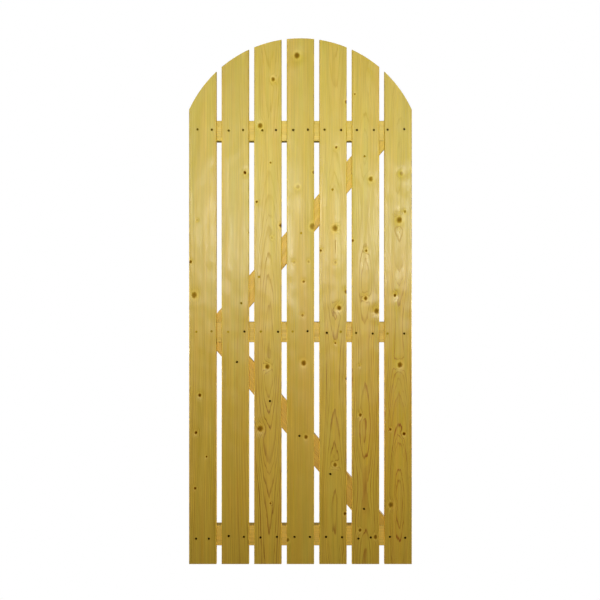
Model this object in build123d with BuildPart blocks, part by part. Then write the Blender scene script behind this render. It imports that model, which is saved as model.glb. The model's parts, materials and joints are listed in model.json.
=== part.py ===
from build123d import *
import math
import os

# A bow top garden gate of planed softwood: seven upright boards nailed to three rails, with a
# brace between each pair of rails. The bow is one arc sawn through all seven boards at once.
# Sizes are in millimetres. X runs from the hinge edge to the latch edge, Y from front to back
# with its zero at the middle of the boards' thickness, and Z up from the foot of the boards.

# The boards
board_count = 7
board_width = 94
board_gap = 17.5
board_thickness = 16
board_arris = 2  # radius of the rounded edge that the planer leaves

# The bow
leaf_height = 1800  # at the crown
bow_rise = 245  # from the outer edges, where the bow springs, up to the crown

# The rails
rail_height = 70
rail_thickness = 32
rail_arris = 2
bottom_rail_height = 58  # from the foot of the boards up to the rail's lower edge
middle_rail_height = 758  # the same for the middle rail
top_rail_drop = 34  # from the shoulder down to the top rail's upper edge

# The braces
brace_width = 72
brace_arris = 2
brace_inset = 68  # from the gate's outer edges to the outer corners of each brace

# Worked out from the sizes above
board_pitch = board_width + board_gap
leaf_width = board_count * board_width + (board_count - 1) * board_gap
shoulder_height = leaf_height - bow_rise
top_rail_height = shoulder_height - top_rail_drop - rail_height
board_back = Plane.XZ.offset(-board_thickness / 2)  # where boards meet rails, facing forwards

os.makedirs("parts", exist_ok=True)


def save(piece, name):
    """Labels a finished piece and writes it to its own file."""
    piece.label = name
    export_step(piece, f"parts/{name}.step")


# The whole outline: straight sides up to the shoulders, and one arc from shoulder to shoulder
with BuildSketch() as outline:
    with BuildLine():
        Polyline((0, shoulder_height), (0, 0), (leaf_width, 0), (leaf_width, shoulder_height))
        ThreePointArc((leaf_width, shoulder_height), (leaf_width / 2, leaf_height), (0, shoulder_height))
    make_face()


# The upright boards: each is the strip of the outline that it covers, with its long edges rounded
for number in range(board_count):
    with BuildPart() as board:
        with BuildSketch(board_back):
            with Locations((number * board_pitch, 0)):
                Rectangle(board_width, leaf_height, align=(Align.MIN, Align.MIN))
            add(outline.sketch, mode=Mode.INTERSECT)
        extrude(amount=board_thickness)
        fillet(board.edges().filter_by(Axis.Z), board_arris)
    save(board.part, f"board_{number + 1}")


def make_rail(name, lower_edge):
    """A rail across the backs of all the boards, flush with the gate's two edges."""
    with BuildPart() as rail:
        with BuildSketch(Plane.YZ):
            with Locations((board_thickness / 2, lower_edge)):
                RectangleRounded(rail_thickness, rail_height, rail_arris, align=(Align.MIN, Align.MIN))
        extrude(amount=leaf_width)
    save(rail.part, name)


make_rail("bottom_rail", bottom_rail_height)
make_rail("middle_rail", middle_rail_height)
make_rail("top_rail", top_rail_height)


def end_cut_length(rise):
    """Length of a brace's level end cut, where the brace climbs by rise between its inset corners."""
    reach = leaf_width - 2 * brace_inset
    edge = math.sqrt(reach**2 + rise**2 - brace_width**2)
    return brace_width * (rise * edge - reach * brace_width) / (rise**2 - brace_width**2)


def make_brace(name, hinge_seat, latch_seat):
    """A brace from one rail by the hinge edge to another by the latch edge, cut level to sit on both."""
    cut = end_cut_length(abs(latch_seat - hinge_seat))
    latch_corner = leaf_width - brace_inset
    with BuildPart() as brace:
        with BuildSketch(board_back):
            with BuildLine():
                Polyline(
                    (brace_inset, hinge_seat),
                    (brace_inset + cut, hinge_seat),
                    (latch_corner, latch_seat),
                    (latch_corner - cut, latch_seat),
                    close=True,
                )
            make_face()
        extrude(amount=-rail_thickness)
        fillet(brace.edges().group_by(Edge.length)[-1], brace_arris)
    save(brace.part, name)


make_brace("upper_brace", middle_rail_height + rail_height, top_rail_height)
make_brace("lower_brace", middle_rail_height, bottom_rail_height + rail_height)
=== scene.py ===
import json
import math
import bmesh
import bpy
from mathutils import Matrix, Vector

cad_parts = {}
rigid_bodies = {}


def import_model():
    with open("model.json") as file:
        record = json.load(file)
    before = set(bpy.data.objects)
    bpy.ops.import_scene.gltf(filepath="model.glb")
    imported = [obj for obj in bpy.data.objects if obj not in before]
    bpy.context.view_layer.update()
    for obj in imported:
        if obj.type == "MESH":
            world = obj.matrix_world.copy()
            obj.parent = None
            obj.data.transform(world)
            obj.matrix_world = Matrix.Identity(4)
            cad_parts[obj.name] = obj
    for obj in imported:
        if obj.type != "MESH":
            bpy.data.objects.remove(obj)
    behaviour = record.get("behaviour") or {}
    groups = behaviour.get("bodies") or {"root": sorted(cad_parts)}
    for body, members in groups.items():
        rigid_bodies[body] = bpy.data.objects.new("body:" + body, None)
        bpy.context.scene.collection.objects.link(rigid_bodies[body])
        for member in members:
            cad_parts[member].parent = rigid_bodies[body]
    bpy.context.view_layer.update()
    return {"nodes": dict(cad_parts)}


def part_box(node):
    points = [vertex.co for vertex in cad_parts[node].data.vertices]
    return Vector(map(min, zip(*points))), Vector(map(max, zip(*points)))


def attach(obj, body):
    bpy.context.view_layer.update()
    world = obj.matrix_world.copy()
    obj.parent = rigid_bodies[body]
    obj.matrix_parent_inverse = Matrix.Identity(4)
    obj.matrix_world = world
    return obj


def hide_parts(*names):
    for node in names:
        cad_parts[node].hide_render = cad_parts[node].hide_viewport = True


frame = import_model()


# Upright boards: seven lengths of planed softwood, nailed to the rails and then sawn to the bow
# all at once. Each comes from a log of its own, so its grain, knots and tint are its own. The
# preservative has turned the yellow wood greenish gold.

# What each board's log was like, in millimetres: where its heart lay, to the right of the board's
# middle and behind its face, and the bend of that heart, as the height at which it comes nearest the
# face, by how much, and over what length. Then the roughness of the planed face, with what is added
# for each millimetre to the right, a seed for its noises, how strongly its growth rings show, how
# light it is, the colour of its late wood, and its knots. Each knot has its place from the left edge,
# its height, its radius and its darkness, from 0 to 1
board_logs = [
    {
        "heart": (-75, 50), "bend": (900, 4, 1500), "gloss": (0.33, -0.0008), "seed": 11,
        "rings": 1.05, "shade": 0.99, "late": "#93691a", "knots": [
            (5, 1034, 5, 0.8), (18, 921, 9, 0.55), (37, 578, 5, 0.95), (24, 450, 5, 1.0),
            (60, 368, 3, 1.0), (21, 260, 4, 1.0), (27, 1178, 3, 0.0),
        ],
    },
    {
        "heart": (65, 70), "bend": (500, 5, 1600), "gloss": (0.33, 0.0), "seed": 23,
        "rings": 0.6, "shade": 0.96, "late": "#95661a", "knots": [
            (80, 1340, 5, 1.0), (94, 1135, 3, 0.5),
        ],
    },
    {
        "heart": (4, 48), "bend": (750, 11, 1500), "gloss": (0.37, 0.0), "seed": 37,
        "rings": 1.15, "shade": 1.0, "late": "#926318", "knots": [
            (65, 1660, 6, 0.6), (21, 1501, 8, 0.6), (56, 1374, 3, 0.7), (9, 1240, 4, 0.8),
            (92, 1159, 6, 0.9), (61, 1117, 4, 0.0), (45, 676, 7, 0.65), (21, 464, 9, 0.7),
            (56, 208, 3, 0.9),
        ],
    },
    {
        "heart": (95, 60), "bend": (1200, 5, 1600), "gloss": (0.39, 0.0024), "seed": 41,
        "rings": 0.2, "shade": 0.96, "late": "#93691a", "knots": [
            (35, 1741, 9, 0.7), (92, 1341, 5, 0.5), (38, 1292, 6, 0.0), (88, 1156, 9, 0.4),
            (26, 1033, 4, 0.0), (75, 1035, 4, 0.1), (58, 967, 4, 0.6), (54, 852, 4, 0.4),
            (58, 688, 8, 0.7), (66, 435, 6, 0.75), (3, 83, 6, 0.6),
        ],
    },
    {
        "heart": (6, 44), "bend": (180, 6, 900), "gloss": (0.34, 0.0), "seed": 59,
        "rings": 1.2, "shade": 1.01, "late": "#936417", "knots": [
            (93, 1582, 5, 0.8), (58, 1427, 4, 0.85), (54, 1150, 9, 0.45), (5, 1073, 4, 0.7),
            (55, 1032, 4, 0.0), (93, 932, 6, 0.7), (68, 877, 7, 0.8), (55, 756, 3, 1.0),
            (93, 634, 4, 0.9), (54, 340, 6, 0.6), (88, 173, 5, 0.9),
        ],
    },
    {
        "heart": (-2, 48), "bend": (476, 3, 480), "gloss": (0.33, -0.0012), "seed": 67,
        "rings": 1.15, "shade": 1.01, "late": "#945c12", "knots": [
            (10, 1609, 3, 0.7), (65, 1318, 7, 0.5), (3, 1108, 4, 0.8), (50, 1073, 4, 0.5),
            (47, 910, 6, 0.7), (85, 866, 8, 0.55), (26, 678, 3, 0.1), (29, 510, 5, 0.8),
            (28, 116, 5, 0.9), (81, 93, 6, 0.7),
        ],
    },
    {
        "heart": (3, 44), "bend": (195, 12, 1200), "gloss": (0.29, 0.0), "seed": 73,
        "rings": 1.05, "shade": 1.01, "late": "#95550e", "knots": [
            (58, 1337, 6, 0.2), (70, 1207, 4, 0.4), (51, 1178, 9, 0.6), (36, 920, 5, 0.85),
            (53, 682, 8, 0.7), (21, 461, 4, 0.8), (67, 446, 5, 1.0), (22, 203, 8, 0.65),
        ],
    },
]


def linear(colour):
    """An sRGB hex colour as the linear RGBA that a shader socket takes."""
    parts = [int(colour[i:i + 2], 16) / 255 for i in (1, 3, 5)]
    return [p / 12.92 if p <= 0.04045 else ((p + 0.055) / 1.055) ** 2.4 for p in parts] + [1.0]


def add(tree, kind, inputs=None, **settings):
    """Adds a node, gives it its settings, and fills or links its inputs, which go by name or by number.
    A node that is given for an input stands for its first output."""
    node = tree.nodes.new("ShaderNode" + kind)
    for setting, value in settings.items():
        setattr(node, setting, value)
    for socket, value in (inputs or {}).items():
        if isinstance(value, bpy.types.Node):
            value = value.outputs[0]
        if isinstance(value, bpy.types.NodeSocket):
            tree.links.new(value, node.inputs[socket])
        else:
            node.inputs[socket].default_value = value
    return node


# The sockets of a Mix node, whose names repeat: what goes in, and the mixed colour that comes out
first_number = 2
second_number = 3
first_colour = 6
second_colour = 7
mixed_colour = 2

white = (1, 1, 1, 1)  # also the tint that changes nothing


def new_material(name):
    """An empty node material."""
    material = bpy.data.materials.new(name)
    material.use_nodes = True
    material.node_tree.nodes.clear()
    return material


def mesh_object(name, shape):
    """Turns a finished bmesh into an object of that name."""
    mesh = bpy.data.meshes.new(name)
    shape.to_mesh(mesh)
    shape.free()
    piece = bpy.data.objects.new(name, mesh)
    bpy.context.scene.collection.objects.link(piece)
    return piece


def grain(tree, place, seed, across, along, detail, roughness=0.6):
    """A noise drawn out along the log, its patches that many millimetres across and along. Like all the
    noises here, it keeps mostly between 0.3 and 0.7."""
    stretched = add(tree, "VectorMath", {
        0: place, 1: (1 / across, 1 / across, 1 / along), 2: (seed, seed, seed)}, operation="MULTIPLY_ADD")
    return add(tree, "TexNoise", {
        "Vector": stretched, "Scale": 1.0, "Detail": detail, "Roughness": roughness})


def knot_marks(tree, place, knots):
    """How near a knot is, from 1 in its middle to 0 at 4.5 radii, how many millimetres the knots push the
    growth rings aside, and how dark they are, times their nearness."""
    reach_in_radii = 4.5
    push_in_radii = 1.3
    length_in_widths = 1.15
    waver = 4  # how far a knot's outline strays
    wavers_in_a_millimetre = 0.12
    unevenness = add(tree, "TexNoise", {"Vector": place, "Scale": wavers_in_a_millimetre, "Detail": 2.0})
    uneven_place = add(tree, "VectorMath", {
        0: unevenness.outputs["Color"], 1: (waver, 0, waver), 2: place}, operation="MULTIPLY_ADD")
    nearness, push, darkness = 0.0, 0.0, 0.0
    for across, up, radius, dark in knots:
        reach = reach_in_radii * radius
        scale = Vector((1 / reach, 0, 1 / (length_in_widths * reach)))
        spot = add(tree, "Mapping", {
            "Vector": uneven_place, "Scale": scale,
            "Location": (-(across + waver / 2) * scale.x, 0, -(up + waver / 2) * scale.z)})
        near = add(tree, "TexGradient", {0: spot}, gradient_type="QUADRATIC_SPHERE").outputs["Fac"]
        nearness = add(tree, "Math", {0: near, 1: nearness}, operation="MAXIMUM")
        push = add(tree, "Math", {0: near, 1: radius * push_in_radii, 2: push}, operation="MULTIPLY_ADD")
        darkness = add(tree, "Math", {0: near, 1: dark, 2: darkness}, operation="MULTIPLY_ADD")
    return nearness, push, darkness


def growth_rings(tree, place, log, push, patches):
    """How much late wood shows, in rings round a heart that bends nearer the face at one height and
    wanders a little. Some years leave wider and stronger rings than others, and knots push them aside."""
    ring_width = 3.2
    wander_length = 350
    wander_across = 9
    wander_deep = 5
    ring_wobble = 2.6
    weather_changes = 0.45  # how often in a year's growth the weather turns better or worse
    good_year_growth = 1.8  # how far that moves the rings, in their own widths
    late_wood_starts = 0.62  # in shares of a year
    late_wood_darkest = 0.92
    poorest_year = 0.45  # how strong its ring is beside a good year's
    faintest_patch = 0.4  # how strong the rings are there
    strongest_patch = 1.3
    seed = log["seed"]
    u, v, w = add(tree, "SeparateXYZ", {0: place}).outputs

    # Where the heart is at each height, and how far each point is from it
    nearest, rise, span = log["bend"]
    swing = add(tree, "Math", {
        0: w, 1: math.tau / span, 2: -math.tau * nearest / span}, operation="MULTIPLY_ADD")
    swing = add(tree, "Math", {0: swing}, operation="COSINE")
    wander = add(tree, "TexNoise", {
        "W": add(tree, "Math", {0: w, 1: 1 / wander_length, 2: seed * 1.7}, operation="MULTIPLY_ADD"),
        "Scale": 1.0, "Detail": 1.0}, noise_dimensions="1D")
    heart_across, heart_deep = log["heart"]
    wander = add(tree, "VectorMath", {
        0: wander.outputs["Color"], 1: (wander_across, wander_deep, 0),
        2: (-heart_across - wander_across / 2, -heart_deep - wander_deep / 2, 0)}, operation="MULTIPLY_ADD")
    wander = add(tree, "SeparateXYZ", {0: wander})
    side = add(tree, "Math", {0: u, 1: wander.outputs["X"]}, operation="ADD")
    depth = add(tree, "Math", {0: swing, 1: rise, 2: wander.outputs["Y"]}, operation="MULTIPLY_ADD")
    depth = add(tree, "Math", {0: v, 1: depth}, operation="ADD")
    radius = add(tree, "VectorMath", {0: add(tree, "CombineXYZ", {0: side, 1: depth})}, operation="LENGTH")
    radius = add(tree, "Math", {0: radius.outputs["Value"], 1: push}, operation="ADD")
    wobble = grain(tree, place, seed, 9, 190, 2.0)
    radius = add(tree, "Math", {0: wobble, 1: ring_wobble, 2: radius}, operation="MULTIPLY_ADD")

    # The year in which each point grew. Its wood stays pale, darkens slowly, and then pales at once
    years = add(tree, "Math", {0: radius, 1: 1 / ring_width}, operation="MULTIPLY")
    good_years = add(tree, "TexNoise", {
        "W": add(tree, "Math", {0: years, 1: weather_changes, 2: seed}, operation="MULTIPLY_ADD"),
        "Scale": 1.0, "Detail": 2.0}, noise_dimensions="1D")
    years = add(tree, "Math", {0: good_years, 1: good_year_growth, 2: years}, operation="MULTIPLY_ADD")
    season = add(tree, "Math", {0: years}, operation="FRACT")
    ring = add(tree, "ValToRGB", {0: season})
    ramp = ring.color_ramp
    ramp.interpolation = "EASE"
    ramp.elements[0].position = late_wood_starts
    ramp.elements[1].position = late_wood_darkest
    winter = ramp.elements.new(1.0)
    winter.color = (0, 0, 0, 1)
    strength = add(tree, "MapRange", {
        0: good_years, 1: 0.3, 2: 0.7, 3: poorest_year * log["rings"], 4: log["rings"]})
    faded = add(tree, "MapRange", {
        0: patches, 1: 0.35, 2: 0.65, 3: faintest_patch, 4: strongest_patch})
    strength = add(tree, "Math", {0: strength, 1: faded}, operation="MULTIPLY")
    return add(tree, "Math", {0: ring, 1: strength}, operation="MULTIPLY")


def clear_wood(tree, place, height, log, early_colours, late_wood, fibres):
    """The colour of the wood between its knots: long streaks of greener and redder gold, the late wood,
    and fine fibres. A painted light tints it by height: the upper half greener and paler, with its late
    wood paler and olive, and the lower half browner, as the light falls on it."""
    browner_below = 0.45
    greener_above = 1.4
    darkest_fibre = 0.8
    lightest_fibre = 1.16
    # Painted light: the upper half's greener, paler tint, and its paler olive late wood
    painted_upper_tint = (0.97, 1.1, 1.16, 1)
    painted_upper_late_wood = (0.84, 0.79, 0.42)  # beside the early wood
    streak = add(tree, "MapRange", {0: grain(tree, place, log["seed"], 24, 420, 3.0), 1: 0.3, 2: 0.7})
    early = add(tree, "Mix", {
        0: streak, first_colour: linear(early_colours[0]), second_colour: linear(early_colours[1])},
        data_type="RGBA").outputs[mixed_colour]
    # Painted light: how far the upper tint has come in, from browner_below to greener_above, in metres
    painted_height_tint_share = add(tree, "MapRange", {
        0: height, 1: browner_below, 2: greener_above}, interpolation_type="SMOOTHSTEP")
    green_late = add(tree, "VectorMath", {0: early, 1: painted_upper_late_wood}, operation="MULTIPLY")
    late = add(tree, "Mix", {
        0: painted_height_tint_share, first_colour: linear(log["late"]), second_colour: green_late}, data_type="RGBA")
    colour = add(tree, "Mix", {
        0: late_wood, first_colour: early, second_colour: late.outputs[mixed_colour]}, data_type="RGBA")
    tint = add(tree, "Mix", {
        0: painted_height_tint_share, first_colour: white, second_colour: painted_upper_tint}, data_type="RGBA")
    colour = add(tree, "VectorMath", {
        0: colour.outputs[mixed_colour], 1: tint.outputs[mixed_colour]}, operation="MULTIPLY")
    fibre_shade = add(tree, "MapRange", {
        0: fibres, 1: 0.25, 2: 0.75, 3: darkest_fibre * log["shade"], 4: lightest_fibre * log["shade"]})
    return add(tree, "VectorMath", {0: colour, 1: fibre_shade}, operation="MULTIPLY")


def knotty_wood(tree, colour, nearness, darkness):
    """The wood's colour with its knots: a pale halo, then a soft brown disc that darkens to its middle.
    Also gives how dull the knots are, from 0 to 1."""
    halo_tint = (1.15, 1.17, 1.35, 1)
    faint_rim = (0.95, 0.92, 0.86, 1)
    dark_rim = (0.62, 0.44, 0.09, 1)
    faint_core = (0.87, 0.81, 0.7, 1)
    dark_core = (0.2, 0.085, 0.008, 1)
    some_nearness = add(tree, "Math", {0: nearness, 1: 0.001}, operation="MAXIMUM")
    tone = add(tree, "Math", {0: darkness, 1: some_nearness}, operation="DIVIDE")
    halo = add(tree, "MapRange", {0: nearness, 1: 0.2, 2: 0.48}, interpolation_type="SMOOTHSTEP")
    disc = add(tree, "MapRange", {0: nearness, 1: 0.48, 2: 0.7}, interpolation_type="SMOOTHSTEP")
    core = add(tree, "MapRange", {0: nearness, 1: 0.58, 2: 0.84}, interpolation_type="SMOOTHSTEP")
    around = add(tree, "Mix", {
        0: halo, first_colour: white, second_colour: halo_tint}, data_type="RGBA")
    rim_tint = add(tree, "Mix", {
        0: tone, first_colour: faint_rim, second_colour: dark_rim}, data_type="RGBA")
    core_tint = add(tree, "Mix", {
        0: tone, first_colour: faint_core, second_colour: dark_core}, data_type="RGBA")
    knot = add(tree, "Mix", {
        0: core, first_colour: rim_tint.outputs[mixed_colour],
        second_colour: core_tint.outputs[mixed_colour]}, data_type="RGBA")
    tint = add(tree, "Mix", {
        0: disc, first_colour: around.outputs[mixed_colour],
        second_colour: knot.outputs[mixed_colour]}, data_type="RGBA")
    colour = add(tree, "VectorMath", {0: colour, 1: tint.outputs[mixed_colour]}, operation="MULTIPLY")
    dullness = add(tree, "Math", {0: tone, 1: 2.0}, operation="MULTIPLY", use_clamp=True)
    dullness = add(tree, "Math", {0: disc, 1: dullness}, operation="MULTIPLY")
    return colour, dullness


def cut_wood(tree, colour, turn, edges):
    """The wood's colour on every side: its narrow faces carry painted light or painted shade, edges times
    their colour, and the sawn ends, which soak up more preservative, are darker. Also gives where the
    sawn ends are."""
    end_tint = (0.8, 0.74, 0.58)
    normal = add(tree, "Mapping", {
        "Vector": add(tree, "NewGeometry").outputs["Normal"], "Rotation": (0, turn, 0)})
    facing = add(tree, "SeparateXYZ", {0: add(tree, "VectorMath", {0: normal}, operation="ABSOLUTE")})
    # Painted light and shade: the narrow faces painted brighter or darker than the wide ones
    painted_side_light = add(tree, "MapRange", {0: facing.outputs["X"], 1: 0.05, 2: 0.5, 3: 1.0, 4: edges})
    colour = add(tree, "VectorMath", {0: colour, 1: painted_side_light}, operation="MULTIPLY")
    end_grain = add(tree, "MapRange", {0: facing.outputs["Z"], 1: 0.2, 2: 0.6})
    end_colour = add(tree, "VectorMath", {0: colour, 1: end_tint}, operation="MULTIPLY")
    colour = add(tree, "Mix", {
        0: end_grain, first_colour: colour, second_colour: end_colour}, data_type="RGBA")
    return colour.outputs[mixed_colour], end_grain


def planed_softwood(name, origin, turn, log, early_colours, edges):
    """Pressure-treated pine off the planer: satin, with growth rings about 3 mm apart that show as
    lines on the faces and as arcs on sawn ends, brown knots, and a gold to green-gold tint. origin is
    the piece's own zero, turn the angle about Y that stands its length upright, early_colours are the
    two that its early wood runs between, and edges is the painted light or painted shade on its narrow
    faces: how much brighter or darker they are painted than its wide ones."""
    material = new_material(name)
    tree = material.node_tree
    seed = log["seed"]

    # Millimetres in the log's own directions: X across the piece, Y through it and Z along it
    object_place = add(tree, "TexCoord").outputs["Object"]
    upright = Matrix.Rotation(turn, 3, "Y")
    place = add(tree, "Mapping", {
        "Vector": object_place, "Scale": (1000, 1000, 1000), "Rotation": (0, turn, 0),
        "Location": upright @ Vector(origin) * -1000})
    height = add(tree, "SeparateXYZ", {0: object_place}).outputs["Z"]
    across = add(tree, "SeparateXYZ", {0: place}).outputs["X"]

    patches = grain(tree, place, seed, 15, 220, 2.0)
    fibres = grain(tree, place, seed, 3.6, 260, 4.0, 0.7)
    nearness, push, darkness = knot_marks(tree, place, log["knots"])
    late_wood = growth_rings(tree, place, log, push, patches)
    colour = clear_wood(tree, place, height, log, early_colours, late_wood, fibres)
    colour, dullness = knotty_wood(tree, colour, nearness, darkness)
    colour, end_grain = cut_wood(tree, colour, turn, edges)

    # Relief in millimetres: the planer leaves slow waves, raised fibres and late wood, and a shallow
    # dish round every knot
    wave_height = 4.0
    fibre_height = 0.05
    late_wood_height = 0.03
    dish_depth = 0.3  # for each millimetre that a knot pushes the rings
    waves = grain(tree, place, seed, 55, 95, 1.0)
    relief = add(tree, "Math", {0: waves, 1: wave_height}, operation="MULTIPLY")
    relief = add(tree, "Math", {0: fibres, 1: fibre_height, 2: relief}, operation="MULTIPLY_ADD")
    relief = add(tree, "Math", {0: late_wood, 1: late_wood_height, 2: relief}, operation="MULTIPLY_ADD")
    relief = add(tree, "Math", {0: push, 1: -dish_depth, 2: relief}, operation="MULTIPLY_ADD")
    bump = add(tree, "Bump", {"Height": relief, "Distance": 0.001, "Strength": 1.0})

    # Polish: the planer leaves some patches and fibres brighter than others, the late wood duller, and
    # the saw leaves the ends rough
    dull_patches = 0.16
    bright_fibres = 0.15
    dull_late_wood = 0.12
    end_roughness = 0.85
    rough, duller = log["gloss"]
    rough = add(tree, "MapRange", {0: patches, 1: 0.3, 2: 0.7, 3: rough + dull_patches, 4: rough})
    rough = add(tree, "Math", {0: across, 1: duller, 2: rough}, operation="MULTIPLY_ADD")
    rough = add(tree, "Math", {0: fibres, 1: -bright_fibres, 2: rough}, operation="MULTIPLY_ADD")
    rough = add(tree, "Math", {0: late_wood, 1: dull_late_wood, 2: rough}, operation="MULTIPLY_ADD")
    rough = add(tree, "Mix", {0: end_grain, first_number: rough, second_number: end_roughness})
    satin_wood = add(tree, "BsdfPrincipled", {
        "Base Color": colour, "Roughness": rough, "IOR": 1.5, "Specular IOR Level": 0.24, "Normal": bump})
    dull_knot = add(tree, "BsdfDiffuse", {"Color": colour, "Normal": bump})
    wood = add(tree, "MixShader", {0: dullness, 1: satin_wood, 2: dull_knot})
    add(tree, "OutputMaterial", {"Surface": wood})
    return material


board_early_wood = ("#bfa236", "#c69f36")
# Painted light: the boards' narrow faces and arrises are painted brighter
board_side_light_paint = 1.75
for number, log in enumerate(board_logs, 1):
    node = f"board_{number}"
    low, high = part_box(node)
    half_width = (high.x - low.x) * 1000 / 2

    # A copy of the sawn board, its triangles joined up into flat faces
    shape = bmesh.new()
    shape.from_mesh(frame["nodes"][node].data)
    bmesh.ops.remove_doubles(shape, verts=shape.verts, dist=0.00001)
    bmesh.ops.dissolve_limit(shape, angle_limit=math.radians(1), verts=shape.verts, edges=shape.edges)
    board = mesh_object(f"{node}_planed", shape)
    centred = [(across - half_width, up, radius, dark) for across, up, radius, dark in log["knots"]]
    board.data.materials.clear()
    board.data.materials.append(planed_softwood(
        f"planed_softwood_{number}", ((low.x + high.x) / 2, 0, 0), 0.0, {**log, "knots": centred},
        board_early_wood, board_side_light_paint))
    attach(board, "root")
    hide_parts(node)


# Rails: three level bars of the same softwood across the backs of the boards, planed with eased
# edges and sawn off flush with the gate's sides. The boards are nailed to them.

rail_early_wood = ("#cfb14a", "#d2ad48")
# Painted shade: the rails' top and bottom faces are painted darker
rail_side_shade_paint = 0.65
rail_shades = (1.09, 0.89, 0.92)
for number, node in enumerate(("bottom_rail", "middle_rail", "top_rail")):
    middle = sum(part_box(node), Vector()) / 2

    # Each knot's place is below the rail's middle line and from the hinge edge
    log = {
        "heart": (40 - 30 * number, 50), "bend": (300, 6, 900), "gloss": (0.45, 0.0),
        "seed": 101 + 13 * number, "rings": 0.6, "shade": rail_shades[number], "late": "#a88630",
        "knots": [
            (-12 + 9 * number, 155 + 110 * number, 8, 0.6),
            (20 - 8 * number, 610 - 112 * number, 6, 0.7),
        ],
    }
    rail = frame["nodes"][node]
    rail.data.materials.clear()
    rail.data.materials.append(planed_softwood(
        f"planed_softwood_{node}", (0, middle.y, middle.z), -math.pi / 2, log,
        rail_early_wood, rail_side_shade_paint))


# Braces: two slanting bars that run from the middle rail by the hinge edge to the outer ends of the
# rails above and below, their ends sawn level to bear on the rails. They keep the gate square.

brace_early_wood = ("#cfaa3e", "#d1a33b")
# The braces' narrow faces get no painted light or shade
brace_side_light_paint = 1.0
for number, node in enumerate(("lower_brace", "upper_brace")):
    low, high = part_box(node)
    brace = frame["nodes"][node]
    left_at_foot, left_at_top = [
        min(v.co.x for v in brace.data.vertices if abs(v.co.z - end) < 0.001) for end in (low.z, high.z)]
    slope = math.atan2(left_at_top - left_at_foot, high.z - low.z)

    # Each knot's place is from the brace's middle, across it and up it
    log = {
        "heart": (25, 45), "bend": (100, 6, 900), "gloss": (0.5, 0.0), "seed": 151 + 17 * number,
        "rings": 0.6, "shade": 0.9, "late": "#a67a26", "knots": [(10, -150, 8, 0.6), (-15, 190, 7, 0.7)],
    }
    brace.data.materials.clear()
    brace.data.materials.append(planed_softwood(
        f"planed_softwood_{node}", (low + high) / 2, -slope, log, brace_early_wood, brace_side_light_paint))


# Nails: plain bright-steel nails with flat heads, driven by hand through the face of each board,
# two into every rail and one where the board crosses a brace. Each head has sunk a little into the
# wood, and the preservative has stained most of them dark brown; that brown is painted darker still,
# as painted shade for the socket round each head.

board_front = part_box("board_1")[0].y
head_radius = 0.0041
head_foot_radius = 0.8 * head_radius
head_thickness = 0.0012
head_arris = 0.0003
head_sunk = 0.0007
socket_radius = 0.0044
socket_depth = 0.0022
shank_radius = 0.0014
nail_length = 0.042

# How far each nail is from the hinge edge and from the foot of the boards, in millimetres, and how
# bright its head has stayed where it isn't dark
nail_rows = {
    "top_rail": [
        (29, 1488, 0.3), (78, 1487, 0.2), (136, 1484, 0.2), (185, 1486, 0.2), (251, 1485, 0.3),
        (298, 1486, 0.1), (357, 1486, 0.1), (407, 1487, 0.2), (464, 1487, 0.2), (521, 1486, 0.1),
        (575, 1486), (633, 1486), (680, 1487), (737, 1489),
    ],
    "middle_rail": [
        (25, 795, 0.8), (77, 797, 0.6), (134, 795, 1.0), (190, 796), (246, 796, 0.8), (305, 795),
        (355, 796, 0.8), (406, 797), (472, 792), (520, 795, 0.8), (572, 791, 0.3), (629, 789),
        (680, 789, 0.8), (737, 789),
    ],
    "bottom_rail": [
        (24, 87), (68, 87), (136, 96), (188, 93), (245, 91), (301, 93), (361, 93),
        (414, 93), (469, 93), (524, 92), (580, 87), (622, 91), (688, 93), (740, 90),
    ],
    "upper_brace": [(179, 893, 0.5), (240, 983, 1.0), (384, 1133, 1.0), (491, 1282, 0.8), (601, 1396, 0.7)],
    "lower_brace": [(164, 692), (277, 558), (378, 439), (484, 308), (599, 189)],
}
dark_head = 0.05  # the brightness of every other head


def stain_and_shade_steel():
    """Drawn steel under a dark brown stain that "bright" thins, from a dull dark coat to bare dull metal.
    The dark coat is partly stain and partly painted shade, darker than the stain alone.
    """
    stain_patch = 0.0025
    material = new_material("stain_and_shade_steel")
    tree = material.node_tree
    place = add(tree, "TexCoord").outputs["Object"]
    bright = add(tree, "Attribute", attribute_name="bright").outputs["Fac"]
    stain = add(tree, "TexNoise", {"Vector": place, "Scale": 1 / stain_patch, "Detail": 3.0})
    # Painted shade: the dark coat is darker than the stain alone, for the shade in each head's socket
    stain_and_shade_coat = add(tree, "Mix", {
        0: stain, first_colour: linear("#1c1001"), second_colour: linear("#301d03")}, data_type="RGBA")
    colour = add(tree, "Mix", {
        0: bright, first_colour: stain_and_shade_coat.outputs[mixed_colour], second_colour: linear("#aa8d14")},
        data_type="RGBA").outputs[mixed_colour]
    rough = add(tree, "MapRange", {0: stain, 3: 0.55, 4: 0.8})
    bump = add(tree, "Bump", {"Height": stain, "Distance": 0.0001, "Strength": 0.4})
    shader = add(tree, "BsdfPrincipled", {
        "Base Color": colour, "Roughness": rough, "Specular IOR Level": 0.0, "Normal": bump})
    add(tree, "OutputMaterial", {"Surface": shader})
    return material


# One nail, with its head's face at zero and its shank along +Z, and the head's edge eased last
nail = bmesh.new()
brightness = nail.verts.layers.float.new("bright")
bmesh.ops.create_cone(
    nail, cap_ends=True, segments=16, radius1=head_radius, radius2=head_foot_radius,
    depth=head_thickness, matrix=Matrix.Translation((0, 0, head_thickness / 2)))
bmesh.ops.create_cone(
    nail, cap_ends=True, segments=10, radius1=shank_radius, radius2=shank_radius,
    depth=nail_length, matrix=Matrix.Translation((0, 0, head_thickness + nail_length / 2)))
rim = [edge for edge in nail.edges if all(end.co.z < 0.0001 for end in edge.verts)]
bmesh.ops.bevel(nail, geom=rim, offset=head_arris, segments=2, profile=0.5, affect="EDGES", material=-1)

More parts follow.
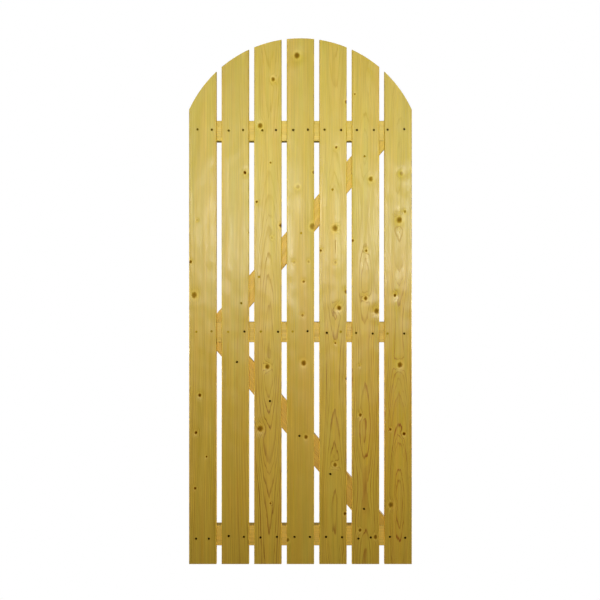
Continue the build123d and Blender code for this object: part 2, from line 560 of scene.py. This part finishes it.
# Every nail driven in at its place, and with it the socket that its head presses into the board
steel = stain_and_shade_steel()
into_the_gate = Matrix.Rotation(-math.pi / 2, 4, "X")
driven = bpy.data.meshes.new("driven_nail")
sockets = bmesh.new()
for target, places in nail_rows.items():
    row = bmesh.new()
    for across, up, *bright in places:
        at = Matrix.Translation((across / 1000, board_front + head_sunk, up / 1000)) @ into_the_gate
        for vert in nail.verts:
            vert[brightness] = bright[0] if bright else dark_head
        nail.to_mesh(driven)
        driven.transform(at)
        row.from_mesh(driven)
        bmesh.ops.create_cone(
            sockets, cap_ends=True, segments=16, radius1=socket_radius, radius2=socket_radius,
            depth=2 * socket_depth, matrix=Matrix.Translation((0, -head_sunk, 0)) @ at)
    nails = mesh_object(f"{target}_nails", row)
    nails.data.materials.append(steel)
    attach(nails, "root")
nail.free()
bpy.data.meshes.remove(driven)

# The boards with the sockets in them
socket_cutter = mesh_object("nail_sockets", sockets)
for number in range(1, len(board_logs) + 1):
    board = bpy.data.objects[f"board_{number}_planed"]
    cut = board.modifiers.new("sockets", "BOOLEAN")
    cut.object = socket_cutter
    cut.solver = "EXACT"
    finished = bpy.data.meshes.new_from_object(board.evaluated_get(bpy.context.evaluated_depsgraph_get()))
    board.modifiers.clear()
    board.data = finished
bpy.data.objects.remove(socket_cutter)


# Studio: a pale room with soft lights. In front, a small one lights the wood, and two wide ones show
# only in its sheen. A weak one above lights the tops, and two stand low behind, left and right.

view_middle = 0.38  # how far from the hinge edge the photograph's middle is
front_distance = 3.6
narrow_beam = 80  # degrees
open_beam = 180


def soft_light(name, place, target, size, power, spread):
    """A rectangular diffuser, faced to a target, whose beam has that spread in degrees."""
    light = bpy.data.lights.new(name, "AREA")
    light.shape = "RECTANGLE"
    light.size, light.size_y = size
    light.energy = power
    light.spread = math.radians(spread)
    lamp = bpy.data.objects.new(name, light)
    lamp.location = place
    lamp.rotation_euler = (Vector(target) - Vector(place)).to_track_quat("-Z", "Y").to_euler()
    lamp.visible_camera = False
    bpy.context.scene.collection.objects.link(lamp)
    return lamp


front_light = soft_light(
    "front_light", place=(view_middle, -front_distance, 1.46), target=(view_middle, 0, 1.34),
    size=(0.4, 0.5), power=24.7, spread=narrow_beam)
front_light.visible_glossy = False
sheen_light = soft_light(
    "sheen_light", place=(view_middle, -front_distance, 1.36), target=(view_middle, 0, 1.24),
    size=(3.2, 0.5), power=29.5, spread=narrow_beam)
sheen_light.visible_diffuse = False
upper_sheen_light = soft_light(
    "upper_sheen_light", place=(view_middle, -front_distance, 2.6), target=(view_middle, 0, 1.7),
    size=(3.2, 0.5), power=7.2, spread=narrow_beam)
upper_sheen_light.visible_diffuse = False
top_light = soft_light(
    "top_light", place=(view_middle, 0.3, 4.2), target=(view_middle, 0.1, 1.6),
    size=(1.5, 0.8), power=14, spread=open_beam)
top_light.visible_glossy = False
for name, side in (("hinge_back_light", -4.3), ("latch_back_light", 5.1)):
    soft_light(
        name, place=(side, 4.7, 0.45), target=(view_middle, 0, 0.9),
        size=(2.0, 2.0), power=320, spread=open_beam)

# The room: white to the camera, and a dim even light on everything else
room_light = (0.13, 0.13, 0.13, 1)
room = bpy.data.worlds.new("pale_room")
room.use_nodes = True
room.node_tree.nodes.clear()
seen = add(room.node_tree, "LightPath").outputs["Is Camera Ray"]
glow = add(room.node_tree, "Mix", {
    0: seen, first_colour: room_light, second_colour: white}, data_type="RGBA")
background = add(room.node_tree, "Background", {"Color": glow.outputs[mixed_colour]})
add(room.node_tree, "OutputWorld", {"Surface": background})
bpy.context.scene.world = room

# The floor: smooth pale paper, as white as the room to the camera, which throws a little warm light
# back up at the gate
floor_reach = 30
floor_drop = 0.0005
floor_colour = (0.2, 0.16, 0.1, 1)
floor_shape = bmesh.new()
bmesh.ops.create_grid(
    floor_shape, x_segments=1, y_segments=1, size=floor_reach,
    matrix=Matrix.Translation((view_middle, 0, -floor_drop)))
floor = mesh_object("pale_floor", floor_shape)
pale_paper = new_material("pale_paper")
seen = add(pale_paper.node_tree, "LightPath").outputs["Is Camera Ray"]
matt = add(pale_paper.node_tree, "BsdfDiffuse", {"Color": floor_colour})
lit = add(pale_paper.node_tree, "Emission", {"Color": white})
mixed = add(pale_paper.node_tree, "MixShader", {0: seen, 1: matt, 2: lit})
add(pale_paper.node_tree, "OutputMaterial", {"Surface": mixed})
floor.data.materials.append(pale_paper)

# Camera: level, square to the gate's front and at its middle, as in the photograph
camera_distance = 2.6
camera_height = 0.96
photo_middle = 0.904  # the height on the gate at the photograph's middle
photo_width = 2.0536  # how much of the gate's plane the photograph's width takes in
film_width = 36
camera = bpy.data.cameras.new("camera")
camera.sensor_width = film_width
camera.lens = film_width * camera_distance / photo_width
camera.shift_y = (photo_middle - camera_height) / photo_width
viewer = bpy.data.objects.new("camera", camera)
viewer.location = (view_middle, board_front - camera_distance, camera_height)
viewer.rotation_euler = (math.pi / 2, 0, 0)
bpy.context.scene.collection.objects.link(viewer)
bpy.context.scene.camera = viewer
bpy.context.scene.view_settings.view_transform = "Standard"
